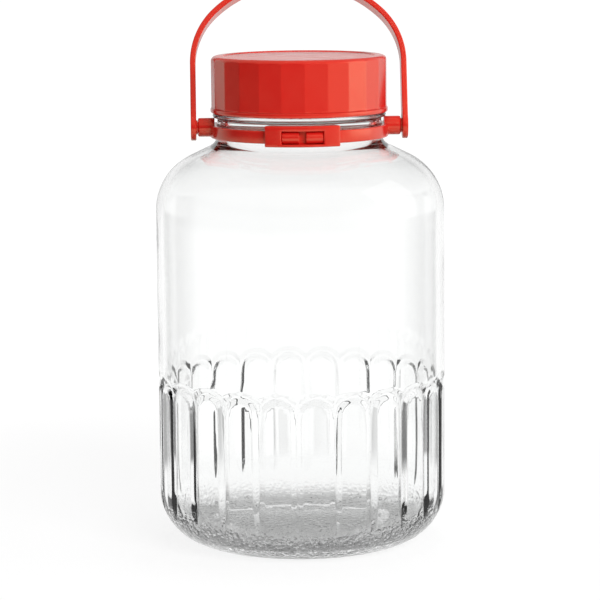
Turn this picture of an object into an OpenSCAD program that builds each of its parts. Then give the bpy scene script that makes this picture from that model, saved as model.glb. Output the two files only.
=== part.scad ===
// Five litre glass storage jar with arch-topped panels round its lower half.
// A faceted plastic screw cap closes it over a push-in inner lid.
// A plastic collar swivels on the neck and carries a bail handle.
// Millimetres. The origin is the centre of the foot, +Z is up, the clasp faces -Y.

/* [Glass jar] */
// Outer diameter of the straight wall
body_d = 175; // [168:1:190]
// Height at which the straight wall turns into the shoulder
body_h = 204; // [180:1:230]
// Glass thickness of wall and shoulder
wall_t = 4.5; // [4:0.1:5]
// Glass thickness of the floor inside
floor_t = 9; // [7.5:0.5:11]
// Radius of the rounded heel
heel_r = 32; // [26:1:34]
// Radius of the rounded shoulder
shoulder_r = 36; // [32:1:40]
// Slope of the upper shoulder from level, degrees
shoulder_slope = 26; // [23:0.5:28]
// Depth of the hollow under the foot
push_up = 4; // [3:0.5:5]
// Width of the flat ring that the jar stands on
foot_w = 5.5; // [4:0.5:7]

/* [Arched panels] */
// Number of panels round the jar
panel_count = 24; // [20:1:26]
// Depth of the groove between two panels
groove_depth = 2.4; // [2:0.1:2.7]
// Slope of the groove's flanks, degrees
groove_slope = 40; // [36:1:44]
// Height of the groove over the arched tops
panel_top = 102.5; // [80:0.5:130]
// Rise of an arch above the ends of its upright grooves
arch_rise = 7.5; // [6:0.5:9]
// Turn of the panels from the clasp, degrees
panel_turn = 3.5; // [0:0.5:15]

/* [Neck] */
// Diameter of the neck where the collar sits
neck_d = 99.2; // [97:0.2:102]
// Radius of the blend from shoulder to neck
neck_blend_r = 8.5; // [8:0.1:10]
// Glass thickness at the mouth
mouth_t = 4.6; // [4.2:0.1:5.2]
// Height of the glass bead under the cap
bead_h = 2.4; // [2:0.1:3]

/* [Screw cap] */
// Height of the cap from lower edge to top
cap_h = 34; // [31:0.5:38]
// Number of flat grip facets
cap_facets = 24; // [18:1:30]
// Turn of the facet edges from the clasp, degrees
cap_turn = 1.6; // [0:0.1:15]
// Wall of the cap skirt
cap_wall = 2.2; // [1.9:0.1:2.6]
// Thickness of the cap top
cap_top_t = 2.2; // [1.8:0.1:2.8]
// Radius of the rounded top edge
cap_edge_r = 3.3; // [2.5:0.1:4]
// Height of the plain bead round the lower edge
cap_bead_h = 3; // [2.4:0.1:4]
// Depth of the sunk panel on top
panel_sink = 0.6; // [0.4:0.1:1]

/* [Inner lid] */
// Depth of the plug below the rim
plug_depth = 10; // [7:0.5:12]
// Thickness of flange and plug
lid_t = 1.6; // [1.2:0.1:2]
// Width of the finger tab in the dish
tab_w = 22; // [18:1:28]

/* [Collar] */
// Height of the band
band_h = 7.6; // [7:0.1:8.2]
// Thickness of the band
band_t = 4; // [3.8:0.1:4.6]
// Diameter of the two pivot ears
ear_d = 11.4; // [10.6:0.1:12.4]
// Distance that the ears stand out from the band
ear_reach = 7.2; // [6.6:0.1:9]
// Height of the clasp sleeve
clasp_h = 12.4; // [11.8:0.1:12.8]
// Distance that the clasp sleeve stands out from the band
clasp_reach = 3.4; // [3:0.1:4.2]
// Drop of the clasp sleeve below the band
clasp_drop = 1.6; // [1.3:0.1:1.8]
// Thickness of the back wall of the clasp sleeve
clasp_back_t = 1; // [0.8:0.1:1.1]
// Width of the clasp sleeve
clasp_w = 44.8; // [40:0.2:52]
// Width of the clasp window
window_w = 25.4; // [22:0.2:28]
// Width of the slot between the two catches
slot_w = 4; // [3:0.2:6]

/* [Bail handle] */
// Width of the strap
strap_w = 13; // [11:0.5:14]
// Thickness of the strap
strap_t = 3.4; // [3:0.1:4]
// Height of the handle above its pivots
handle_h = 92.6; // [86:0.2:110]
// Height of the straight legs above the pivots
leg_h = 38.8; // [34:0.2:50]
// Radius of the haunches of the arch
haunch_r = 46; // [42:0.5:48]
// Lean of the handle at rest, degrees
handle_lean = 18; // [0:1:30]
// Diameter of the pivot studs
stud_d = 6.4; // [5.6:0.1:6.8]
// Depth of the channel along the inside of the strap
channel_t = 1.2; // [0.8:0.1:1.6]
// Width of the rim either side of the channel
channel_rim = 2.2; // [1.8:0.1:3]
// Distance of the channel's ends from the eyes
channel_start = 8; // [6:1:14]

/* [Clearances] */
// Radial clearance of a pivot stud in its ear
run_gap = 0.05; // [0.03:0.01:0.1]
// Clearance of plug, sleeve and tongue
seat_gap = 0.3; // [0.25:0.05:0.4]
// Clearance of the collar on the neck
neck_gap = 0.4; // [0.35:0.05:0.5]
// Room for the threads between neck and cap
thread_room = 2.4; // [2.2:0.1:2.8]

/* [Hidden] */
$fn = 96;

// Glass outline
body_r = body_d / 2;
neck_r = neck_d / 2;
finish_r = neck_r - 1.6;
mouth_r = finish_r - mouth_t;
bead_r = neck_r + 2.8;
rim_round = 1.5;
turn_angle = (90 - shoulder_slope) / 2;
arc_end_r = body_r - shoulder_r + shoulder_r * sin(shoulder_slope);
arc_end_z = body_h + shoulder_r * cos(shoulder_slope);
root_z = arc_end_z + (arc_end_r - neck_r) * tan(shoulder_slope);
blend_z = root_z + neck_blend_r * tan(turn_angle);

// Glass cavity
cavity_r = body_r - wall_t;
cavity_heel_r = heel_r - wall_t - 1;
cavity_arc_r = shoulder_r - wall_t;
cavity_end_r = body_r - shoulder_r + cavity_arc_r * sin(shoulder_slope);
cavity_end_z = body_h + cavity_arc_r * cos(shoulder_slope);
cavity_root_z = cavity_end_z + (cavity_end_r - mouth_r) * tan(shoulder_slope);
foot_r = body_r - heel_r - foot_w;
push_up_r = (foot_r * foot_r + push_up * push_up) / (2 * push_up);

// Grooves round the panels
panel_half = 180 / panel_count;
groove_r = body_r - groove_depth;
groove_top_r = body_r + 1;
groove_low_z = 2;
spring_z = panel_top - arch_rise;
spandrel_cut = 0.5;
arch_half_w = groove_r * sin(panel_half);
arch_floor = groove_r * cos(panel_half) + 0.15;
arch_lean = atan((groove_r - arch_floor) / arch_rise);
arch_r = (arch_half_w * arch_half_w + arch_rise * arch_rise) / (2 * arch_rise);
arch_half = asin(arch_half_w / arch_r);

// Collar levels
band_in = neck_r + neck_gap;
band_out = band_in + band_t;
blend_run = neck_blend_r - neck_gap;
band_z = blend_z - sqrt(neck_blend_r * neck_blend_r - blend_run * blend_run) + neck_gap;
band_mid = band_z + band_h / 2;
pivot_z = band_z + ear_d / 2 + 0.3;
ear_x = band_out + ear_reach;
bead_z = pivot_z + ear_d / 2 + 0.4;

// Clasp
sleeve_in = band_in + clasp_back_t;
sleeve_back = sleeve_in + clasp_back_t;
tongue_in = sleeve_back + 0.2;
tongue_out = band_out - 0.2;
sleeve_front = band_out;
sleeve_out = band_out + clasp_reach;
sleeve_z = band_z - clasp_drop;
clasp_half = asin(clasp_w / 2 / sleeve_out);
window_half = asin(window_w / 2 / sleeve_out);
slot_half = asin(slot_w / 2 / band_out);
catch_out = sleeve_out - 0.9;

// Cap levels
cap_z = bead_z + bead_h + 0.4;
cap_top = cap_z + cap_h;
cap_in = finish_r + thread_room;
cap_r = cap_in + cap_wall;
cap_ceiling = cap_top - panel_sink - cap_top_t;
flange_z = cap_ceiling - lid_t;
flange_r = cap_in - 0.5;
rim_z = flange_z;
panel_r = cap_r - cap_edge_r - 3.4;
keeper_r = finish_r + 1;

// Handle
stud_r = stud_d / 2;
eye_r = strap_w / 2 + 1.5;
strap_in = ear_x + 1;
span = strap_in + strap_t;
arch_h = handle_h - leg_h;
crown_drop = ((span - haunch_r) * (span - haunch_r) - (arch_h - haunch_r) * (arch_h - haunch_r))
    / (2 * (arch_h - haunch_r));
crown_r = arch_h + crown_drop;

// Rectangle with all four corners rounded
module soft_box(w, h, r) {
    translate([r, 0])
        square([w - 2 * r, h]);
    translate([0, r])
        square([w, h - 2 * r]);
    for (x = [r, w - r], y = [r, h - r])
        translate([x, y])
            circle(r);
}

// Sliver that rounds an outer corner when it is cut away
module corner_cut(x, y, r) {
    difference() {
        translate([x - r, y - r])
            square([r + 1, r + 1]);
        translate([x - r, y - r])
            circle(r);
    }
}

// Sliver that rounds the corner on the bore side
module bore_corner_cut(x, y, r) {
    difference() {
        translate([x - 1, y - r])
            square([r + 1, r + 1]);
        translate([x + r, y - r])
            circle(r);
    }
}

// Half section of a sloping shoulder that blends into the neck above it
module shoulder_section(start_r, start_z, neck, root, axis_r) {
    reach = neck_blend_r * tan(turn_angle);
    foot_r = neck + reach * cos(shoulder_slope);
    foot_z = root - reach * sin(shoulder_slope);
    difference() {
        polygon([[0, body_h], [axis_r, body_h], [start_r, start_z], [foot_r, foot_z],
            [neck, root + reach], [0, root + reach]]);
        translate([neck + neck_blend_r, root + reach])
            circle(neck_blend_r);
    }
}

// Outer half section of the glass
module glass_outline() {
    translate([0, heel_r])
        square([body_r, body_h - heel_r]);
    square([body_r - heel_r, heel_r]);
    intersection() {
        translate([body_r - heel_r, heel_r])
            circle(heel_r);
        square([body_r, heel_r]);
    }
    intersection() {
        translate([body_r - shoulder_r, body_h])
            circle(shoulder_r);
        translate([0, body_h])
            square([body_r, shoulder_r]);
    }
    shoulder_section(arc_end_r, arc_end_z, neck_r, root_z, body_r - shoulder_r);
    square([neck_r, bead_z + bead_h / 2]);
    square([finish_r, rim_z]);
    translate([neck_r - 1, bead_z])
        soft_box(bead_r - neck_r + 1, bead_h, bead_h / 2 - 0.1);
}

// Half section of the space inside the glass
module glass_cavity() {
    translate([0, floor_t + cavity_heel_r])
        square([cavity_r, body_h - floor_t - cavity_heel_r]);
    translate([0, floor_t])
        square([cavity_r - cavity_heel_r, cavity_heel_r]);
    intersection() {
        translate([cavity_r - cavity_heel_r, floor_t + cavity_heel_r])
            circle(cavity_heel_r);
        translate([0, floor_t])
            square([cavity_r, cavity_heel_r]);
    }
    intersection() {
        translate([body_r - shoulder_r, body_h])
            circle(cavity_arc_r);
        translate([0, body_h])
            square([body_r, shoulder_r]);
    }
    shoulder_section(cavity_end_r, cavity_end_z, mouth_r, cavity_root_z, body_r - shoulder_r);
    translate([0, cavity_root_z - 1])
        square([mouth_r, rim_z - cavity_root_z + 2]);
}

// Upright groove between two panels
module groove_cutter() {
    half_w = (groove_top_r - groove_r) / tan(groove_slope);
    translate([0, 0, groove_low_z])
        linear_extrude(spring_z + spandrel_cut - groove_low_z)
            polygon([[groove_r, 0], [groove_top_r, half_w], [groove_top_r, -half_w]]);
}

// Groove over the arched top of one panel, steep on the side of the plain wall
module arch_cutter() {
    depth = groove_top_r - arch_floor;
    translate([arch_floor, 0, spring_z])
        rotate([0, arch_lean, 0])
            translate([-arch_floor, 0, arch_rise - arch_r])
                rotate([0, 90, 0])
                    rotate([0, 0, 180 - arch_half])
                        rotate_extrude(angle = 2 * arch_half)
                            polygon([[arch_r, arch_floor], [arch_r + depth * tan(panel_half), groove_top_r],
                                [arch_r - depth / tan(groove_slope + panel_half), groove_top_r]]);
}

// Blown glass jar with panels, shoulder, neck, bead and open mouth
module glass_jar() {
    color([0.86, 0.92, 0.92, 0.35])
        difference() {
            difference() {
                rotate_extrude()
                    difference() {
                        glass_outline();
                        glass_cavity();
                        corner_cut(finish_r, rim_z, rim_round);
                        bore_corner_cut(mouth_r, rim_z, rim_round);
                        translate([0, push_up - push_up_r])
                            circle(push_up_r, $fn = 180);
                    }
                for (i = [0 : panel_count - 1])
                    rotate([0, 0, panel_turn - 90 + panel_half * (2 * i + 1)])
                        groove_cutter();
            }
            for (i = [0 : panel_count - 1])
                rotate([0, 0, panel_turn - 90 + panel_half * 2 * i])
                    arch_cutter();
        }
}

// Push-in lid: flange on the rim, plug in the mouth, finger tab in the dish
module inner_lid() {
    plug_r = mouth_r - seat_gap;
    dish_r = plug_r - lid_t;
    plug_z = rim_z - plug_depth;
    dish_z = plug_z + lid_t;
    color([0.93, 0.93, 0.90]) {
        rotate_extrude() {
            translate([dish_r, flange_z])
                square([flange_r - dish_r, lid_t]);
            polygon([[dish_r, cap_ceiling], [plug_r, cap_ceiling], [plug_r, plug_z + 2],
                [plug_r - 1, plug_z], [0, plug_z], [0, dish_z], [dish_r - 1, dish_z], [dish_r, dish_z + 1]]);
        }
        translate([0, lid_t / 2, plug_z])
            rotate([90, 0, 0])
                linear_extrude(lid_t)
                    intersection() {
                        translate([-tab_w / 2, 0])
                            square([tab_w, plug_depth]);
                        translate([0, -2])
                            circle(tab_w / 2);
                    }
    }
}

// Ring of flat facets as a regular polygon
module facet_ring(r) {
    corner_r = r / cos(180 / cap_facets);
    step = 360 / cap_facets;
    start = cap_turn - 90;
    polygon([for (i = [0 : cap_facets - 1]) corner_r * [cos(start + step * i), sin(start + step * i)]]);
}

// Screw cap with grip facets, plain lower bead, rounded top edge and sunk panel
module screw_cap() {
    crest_r = cap_r / cos(180 / cap_facets);
    color([0.80, 0.05, 0.06])
        difference() {
            union() {
                intersection() {
                    translate([0, 0, cap_z + cap_bead_h / 2])
                        linear_extrude(cap_h - cap_bead_h / 2)
                            facet_ring(cap_r);
                    rotate_extrude()
                        difference() {
                            translate([0, cap_z])
                                square([crest_r + 1, cap_h]);
                            corner_cut(crest_r + 0.1, cap_top, cap_edge_r);
                        }
                }
                rotate_extrude()
                    translate([cap_in - 0.4, cap_z])
                        soft_box(crest_r + 0.5 - cap_in + 0.4, cap_bead_h, 0.9);
            }
            translate([0, 0, cap_z - 1])
                cylinder(r = cap_in, h = cap_ceiling - cap_z + 1);
            translate([0, 0, cap_top - panel_sink])
                cylinder(r = panel_r, h = panel_sink + 1);
        }
    color([0.80, 0.05, 0.06])
        translate([0, 0, flange_z - seat_gap - 1.2])
            difference() {
                cylinder(r = cap_in + 0.5, h = 1.2);
                translate([0, 0, -1])
                    cylinder(r = keeper_r, h = 3.2);
            }
}

// Wedge of the clasp side between two angles either side of the front
module front_wedge(half) {
    far = sleeve_out * 2;
    translate([0, 0, band_z - clasp_h])
        linear_extrude(3 * clasp_h)
            polygon([[0, 0], [-far * sin(half), -far * cos(half)], [far * sin(half), -far * cos(half)]]);
}

// Half round catch that stands out of a tongue through the clasp window
module catch_section() {
    catch_h = band_h - 2 * seat_gap;
    bulge = catch_out - tongue_out;
    catch_r = (catch_h * catch_h / 4 + bulge * bulge) / (2 * bulge);
    intersection() {
        translate([catch_out - catch_r, band_mid])
            circle(catch_r);
        translate([tongue_out - 0.5, band_mid - catch_h / 2])
            square([bulge + 0.5, catch_h]);
    }
}

// Pivot ear on the +X side, bored for a snap-in stud
module ear() {
    translate([0, 0, pivot_z])
        rotate([0, 90, 0])
            rotate_extrude()
                difference() {
                    translate([0, band_in + 1.2])
                        square([ear_d / 2, ear_x - band_in - 1.2]);
                    corner_cut(ear_d / 2, ear_x, 1);
                    translate([0, band_out - 0.8])
                        square([stud_r + run_gap, ear_reach + 2]);
                    translate([0, ear_x - 5.2])
                        square([stud_r + 0.45 + run_gap, 1.6]);
                }
}

// Split collar band with two pivot ears and two catch tongues at the front
module collar_band() {
    color([0.80, 0.05, 0.06]) {
        difference() {
            rotate_extrude()
                translate([band_in, band_z])
                    soft_box(band_t, band_h, 0.9);
            front_wedge(clasp_half + 0.4);
            for (turn = [0, 180])
                rotate([0, 0, turn])
                    translate([band_out - 0.8, 0, pivot_z])
                        rotate([0, 90, 0])
                            cylinder(r = stud_r + run_gap, h = 4);
        }
        intersection() {
            difference() {
                union() {
                    rotate_extrude()
                        translate([tongue_in, band_z + seat_gap])
                            square([tongue_out - tongue_in, band_h - 2 * seat_gap]);
                    intersection() {
                        rotate_extrude()
                            catch_section();
                        front_wedge(window_half - 0.3);
                    }
                }
                front_wedge(slot_half);
            }
            front_wedge(clasp_half + 1);
        }
        ear();
        rotate([0, 0, 180])
            ear();
    }
}

// Clasp sleeve: a curved box over both tongues, with a window for the catches
module clasp_sleeve() {
    color([0.80, 0.05, 0.06])
        difference() {
            intersection() {
                rotate_extrude()
                    difference() {
                        translate([sleeve_in, sleeve_z])
                            soft_box(sleeve_out - sleeve_in, clasp_h, 0.9);
                        translate([sleeve_back, band_z])
                            square([sleeve_front - sleeve_back, band_h]);
                    }
                front_wedge(clasp_half);
            }
            intersection() {
                rotate_extrude()
                    translate([sleeve_front - 0.5, band_z])
                        square([sleeve_out - sleeve_front + 2, band_h]);
                front_wedge(window_half);
            }
        }
}

// Filled arch of the handle, set in from its outer outline
module arch(inset) {
    far = crown_r * 2;
    for (s = [-1, 1])
        translate([s * (span - haunch_r), leg_h])
            circle(haunch_r - inset);
    intersection() {
        translate([0, leg_h - crown_drop])
            circle(crown_r - inset);
        translate([0, leg_h - crown_drop])
            polygon([[0, 0], [(span - haunch_r) * far, crown_drop * far],
                [(haunch_r - span) * far, crown_drop * far]]);
    }
    translate([inset - span, -eye_r - 1])
        square([2 * (span - inset), leg_h + eye_r + 1]);
}

// Stud on the +X leg: spacer face, shank and snap ring
module stud() {
    rotate([0, 90, 0])
        rotate_extrude() {
            translate([0, ear_x + 0.15])
                square([stud_r + 1.1, strap_in - ear_x]);
            translate([0, band_out - 0.5])
                square([stud_r, strap_in - band_out + 0.6]);
            translate([0, ear_x - 4.9])
                square([stud_r + 0.4, 1]);
        }
}

// Bail handle: three-centred strap arch, round eyes and snap-in studs
module bail_handle() {
    color([0.80, 0.05, 0.06])
        translate([0, 0, pivot_z])
            rotate([-handle_lean, 0, 0]) {
                difference() {
                    intersection() {
                        rotate([90, 0, 0])
                            linear_extrude(2 * eye_r + 2, center = true)
                                difference() {
                                    arch(0);
                                    arch(strap_t);
                                }
                        rotate([90, 0, 90])
                            linear_extrude(2 * span + 2, center = true) {
                                circle(eye_r);
                                translate([-strap_w / 2, 0])
                                    square([strap_w, handle_h + 1]);
                            }
                    }
                    rotate([90, 0, 0])
                        linear_extrude(strap_w - 2 * channel_rim, center = true)
                            intersection() {
                                difference() {
                                    arch(strap_t - channel_t);
                                    arch(strap_t + 1);
                                }
                                translate([-span, eye_r + channel_start])
                                    square([2 * span, handle_h]);
                            }
                }
                stud();
                rotate([0, 0, 180])
                    stud();
            }
}

glass_jar();
inner_lid();
screw_cap();
collar_band();
clasp_sleeve();
bail_handle();
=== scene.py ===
"""Glass storage jar with a faceted screw cap, a neck collar and a bail handle."""

import math
from functools import partial
from itertools import product

import bmesh
import bpy
from bpy.props import FloatProperty, FloatVectorProperty, IntProperty, PointerProperty
from bpy.types import Node, NodeSocket, Operator, Panel, PropertyGroup
from mathutils import Matrix, Vector


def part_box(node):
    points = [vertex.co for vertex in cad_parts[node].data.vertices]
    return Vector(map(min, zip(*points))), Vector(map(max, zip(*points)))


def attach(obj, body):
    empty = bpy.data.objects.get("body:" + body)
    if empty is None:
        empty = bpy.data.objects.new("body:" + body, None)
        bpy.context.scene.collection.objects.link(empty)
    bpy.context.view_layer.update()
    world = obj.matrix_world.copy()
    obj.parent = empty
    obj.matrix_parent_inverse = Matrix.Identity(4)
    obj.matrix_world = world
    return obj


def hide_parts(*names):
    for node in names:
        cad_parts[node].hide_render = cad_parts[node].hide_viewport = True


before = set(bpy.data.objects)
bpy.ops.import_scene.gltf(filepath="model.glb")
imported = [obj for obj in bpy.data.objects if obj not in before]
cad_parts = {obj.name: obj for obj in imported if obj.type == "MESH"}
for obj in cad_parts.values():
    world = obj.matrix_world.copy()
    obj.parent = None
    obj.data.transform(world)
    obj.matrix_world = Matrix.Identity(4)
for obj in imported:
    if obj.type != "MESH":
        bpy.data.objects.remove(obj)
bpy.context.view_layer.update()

bl_info = {
    "name": "Glass storage jar",
    "version": (1, 0, 0),
    "blender": (4, 5, 0),
    "location": "3D View > Sidebar > Jar",
    "description": "Panelled glass jar with screw cap, inner lid, collar, clasp and bail handle",
    "category": "Object",
}

glass_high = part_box("glass_jar")[1]
cap_low, cap_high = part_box("screw_cap")
band_low, band_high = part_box("collar_band")
clasp_low, clasp_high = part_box("clasp_sleeve")
picture_width = 600


# Settings

def number(label, about, value, **more):
    return FloatProperty(name=label, description=about, default=value, **more)


def length(label, about, size):
    return number(label, about, size, unit="LENGTH", precision=4)


def angle(label, about, degrees):
    return number(label, about, math.radians(degrees), unit="ROTATION")


def colour(label, about, rgb):
    return FloatVectorProperty(name=label, description=about, default=rgb, size=3, subtype="COLOR",
                               min=0.0, max=1.0)


class JarGlassSettings(PropertyGroup):
    """Sizes and tint of the glass"""
    body_radius: length("Body radius", "Outer radius of the straight wall", glass_high.x)
    height: length("Height", "Height of the rim above the foot", glass_high.z)
    body_height: length("Body height", "Height at which the wall turns into the shoulder", 0.204)
    wall: length("Wall", "Glass thickness of wall and shoulder", 0.0045)
    floor: length("Floor", "Height of the floor inside", 0.009)
    heel_radius: length("Heel radius", "Radius of the rounded heel", 0.032)
    foot_width: length("Foot width", "Width of the flat ring that the jar stands on", 0.0055)
    push_up: length("Push-up", "Depth of the hollow under the foot", 0.004)
    shoulder_radius: length("Shoulder radius", "Radius of the rounded shoulder", 0.036)
    shoulder_slope: angle("Shoulder slope", "Slope of the upper shoulder from level", 26)
    neck_radius: length("Neck radius", "Outer radius of the neck under the bead", 0.0496)
    neck_blend: length("Neck blend", "Radius of the blend from shoulder to neck", 0.0085)
    finish_radius: length("Finish radius", "Outer radius of the threaded mouth", 0.048)
    mouth_radius: length("Mouth radius", "Inner radius of the mouth", 0.0434)
    bead_radius: length("Bead radius", "Outer radius of the bead under the cap", 0.0524)
    bead_z: length("Bead level", "Height of the underside of the bead", 0.260215)
    bead_size: length("Bead height", "Height of the bead", 0.0024)
    panel_count: IntProperty(name="Panels", description="Number of arched panels round the jar", default=24)
    panel_top: length("Panel top", "Height of the groove over the arched tops", 0.1025)
    arch_rise: length("Arch rise", "Rise of an arch above the ends of its upright grooves", 0.0075)
    panel_turn: angle("Panel turn", "Turn of the first panel from the clasp", 3.5)
    groove_depth: length("Groove depth", "Depth of the groove between two panels", 0.0019)
    groove_slope: angle("Groove slope", "Slope of the groove's flanks", 28)
    groove_soft: length("Groove softness", "Rounding of the groove's edges", 0.0003)
    corner_soft: length("Corner softness", "Rounding of the corner where an arch springs", 0.004)
    crown_share: number("Crown share", "Share of the groove's depth left at an arch's crown", 0.65)
    thread_z: length("Thread level", "Height at which the thread starts", 0.2725)
    thread_pitch: length("Thread pitch", "Rise of the thread in one turn", 0.008)
    thread_turns: number("Thread turns", "Turns of the thread", 1.5)
    thread_height: length("Thread height", "Height of the thread on the neck", 0.0016)
    tint: colour("Tint", "Colour of the glass", (0.992, 0.996, 0.994))


class CapSettings(PropertyGroup):
    """Sizes of the screw cap and the inner lid"""
    facets: IntProperty(name="Facets", description="Number of flat grip facets", default=24)
    turn: angle("Facet turn", "Turn of a facet edge from the clasp", 1.6)
    radius: length("Facet radius", "Radius of the circle that the facets touch", 0.0526)
    bore: length("Bore", "Inner radius of the skirt", 0.0504)
    low: length("Lower edge", "Height of the lower edge", cap_low.z)
    top: length("Top", "Height of the top", cap_high.z)
    bead_size: length("Bead height", "Height of the plain bead round the lower edge", 0.003)
    edge_radius: length("Edge radius", "Radius of the rounded top edge", 0.0033)
    panel_radius: length("Panel radius", "Radius of the sunk panel on top", 0.0459)
    panel_sink: length("Panel sink", "Depth of the sunk panel", 0.0006)
    top_wall: length("Top thickness", "Thickness of the cap top", 0.0022)
    keeper_radius: length("Keeper radius", "Inner radius of the ring that holds the inner lid", 0.049)
    lid_wall: length("Lid thickness", "Thickness of the inner lid", 0.0016)
    plug_radius: length("Plug radius", "Radius of the lid's plug", 0.0431)
    plug_depth: length("Plug depth", "Depth of the plug below the rim", 0.010)
    flange_radius: length("Flange radius", "Radius of the lid's flange", 0.0499)
    tab_width: length("Tab width", "Width of the finger tab in the dish", 0.022)


class CollarSettings(PropertyGroup):
    """Sizes of the collar band and its clasp"""
    inner: length("Band bore", "Inner radius of the band", 0.050)
    outer: length("Band radius", "Outer radius of the band", 0.054)
    low: length("Band level", "Height of the band's lower edge", band_low.z)
    height: length("Band height", "Height of the band", 0.0076)
    ear_radius: length("Ear radius", "Radius of the pivot ears", 0.0057)
    ear_reach: length("Ear end", "Distance of an ear's end from the axis", band_high.x)
    pivot_z: length("Pivot level", "Height of the handle's pivots", 0.254115)
    tongue_inner: length("Tongue bore", "Inner radius of the catch tongues", 0.0522)
    tongue_outer: length("Tongue radius", "Outer radius of the catch tongues", 0.0538)
    catch_outer: length("Catch radius", "Outer radius of the catches", 0.0565)
    slot: angle("Slot", "Half of the angle between the two catches", 2.12)
    clasp_half: angle("Clasp half angle", "Half of the angle that the clasp covers", 22.97)
    window_half: angle("Window half angle", "Half of the angle of the clasp window", 12.78)
    clasp_inner: length("Clasp bore", "Inner radius of the clasp", 0.051)
    clasp_back: length("Clasp back", "Radius of the tunnel's inner face", 0.052)
    clasp_outer: length("Clasp radius", "Outer radius of the clasp", -clasp_low.y)
    clasp_low: length("Clasp level", "Height of the clasp's lower edge", clasp_low.z)
    clasp_high: length("Clasp top", "Height of the clasp's upper edge", clasp_high.z)


class HandleSettings(PropertyGroup):
    """Sizes of the bail handle"""
    span: length("Half span", "Distance of a leg's outer face from the axis", 0.0656)
    width: length("Strap width", "Width of the strap", 0.013)
    thickness: length("Strap thickness", "Thickness of the strap", 0.0034)
    height: length("Height", "Height of the handle above its pivots", 0.0926)
    leg: length("Leg height", "Height of the straight legs above the pivots", 0.0388)
    haunch: length("Haunch radius", "Radius of the haunches of the arch", 0.046)
    lean: angle("Lean", "Lean of the handle at rest", 18)
    eye: length("Eye radius", "Radius of the round leg ends", 0.008)
    stud: length("Stud radius", "Radius of the pivot studs", 0.0032)
    stud_end: length("Stud end", "Distance of a stud's inner end from the axis", 0.0535)
    channel_depth: length("Channel depth", "Depth of the channel inside the strap", 0.0012)
    channel_rim: length("Channel rim", "Width of the rim either side of the channel", 0.0022)
    channel_start: length("Channel start", "Height of the channel's ends above the pivots", 0.016)
    edge: length("Edge radius", "Rounding of the strap's edges", 0.0007)


class FinishSettings(PropertyGroup):
    """Colours of the plastic pieces"""
    red: colour("Red plastic", "Colour of cap, collar, clasp and handle", (0.78, 0.017, 0.014))
    natural: colour("Natural plastic", "Colour of the inner lid", (0.82, 0.82, 0.78))


class StageSettings(PropertyGroup):
    """Camera, lamps and floor"""
    distance: length("Camera distance", "Distance of the camera from the jar's axis", 1.71484)
    height: length("Camera height", "Height of the camera above the floor", 0.4029)
    azimuth: angle("Camera azimuth", "Turn of the camera from the clasp", -2)
    pitch: angle("Camera pitch", "Downward tilt of the camera", 8.46)
    roll: angle("Camera roll", "Turn of the camera about its own axis", 0.506)
    lens: number("Lens", "Focal length in millimetres", 170.47)
    shift: number("Shift", "Sideways shift of the picture in pixels", -0.83)
    key: number("Key lamp", "Power of the lamp on the right", 4.0, unit="POWER")
    fill: number("Front lamp", "Power of the lamp in front", 46.0, unit="POWER")
    top: number("Top lamp", "Power of the lamp above", 7.0, unit="POWER")
    ambient: number("Ambient", "Level of the light from all round", 0.22)


# Meshes

def arc(centre, radius, start, end, steps):
    """Points on an arc in a half section, angles in degrees"""
    points = []
    for i in range(steps + 1):
        a = math.radians(start + (end - start) * i / steps)
        points.append((centre[0] + radius * math.cos(a), centre[1] + radius * math.sin(a)))
    return points


def bend(corner, radius, start, end, steps):
    """Arc that rounds a square corner of a half section, angles in degrees"""
    middle = math.radians((start + end) / 2)
    centre = (corner[0] - math.copysign(radius, math.cos(middle)),
              corner[1] - math.copysign(radius, math.sin(middle)))
    return arc(centre, radius, start, end, steps)


def spread(start, end, steps):
    """Points on a straight line without its two ends"""
    return [(start[0] + (end[0] - start[0]) * i / steps, start[1] + (end[1] - start[1]) * i / steps)
            for i in range(1, steps)]


def turned(rows, angles, shape=None):
    """Vertices and faces of a section turned round the z axis; a row on the axis is a pole"""
    verts = []
    index = []
    for r, z in rows:
        if r < 1e-9:
            index.append([len(verts)] * len(angles))
            verts.append((0.0, 0.0, z))
            continue
        index.append(list(range(len(verts), len(verts) + len(angles))))
        for a in angles:
            at = shape(r, z, a) if shape else r
            verts.append((at * math.cos(a), at * math.sin(a), z))
    faces = []
    count = len(angles)
    for low, high in zip(index, index[1:]):
        for i in range(count):
            j = (i + 1) % count
            ring = [low[i], low[j], high[j], high[i]]
            face = [v for k, v in enumerate(ring) if v not in ring[:k]]
            if len(face) > 2:
                faces.append(face)
    return verts, faces


def even_angles(count):
    return [2 * math.pi * i / count for i in range(count)]


def sector(section, start, end, steps):
    """Closed half section turned through part of a circle, with flat ends"""
    verts = []
    faces = []
    count = len(section)
    for i in range(steps + 1):
        a = start + (end - start) * i / steps
        verts += [(r * math.cos(a), r * math.sin(a), z) for r, z in section]
    for i in range(steps):
        for j in range(count):
            k = (j + 1) % count
            faces.append([i * count + j, i * count + k, (i + 1) * count + k, (i + 1) * count + j])
    faces.append(list(range(count)))
    faces.append([steps * count + j for j in range(count)])
    return verts, faces


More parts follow.
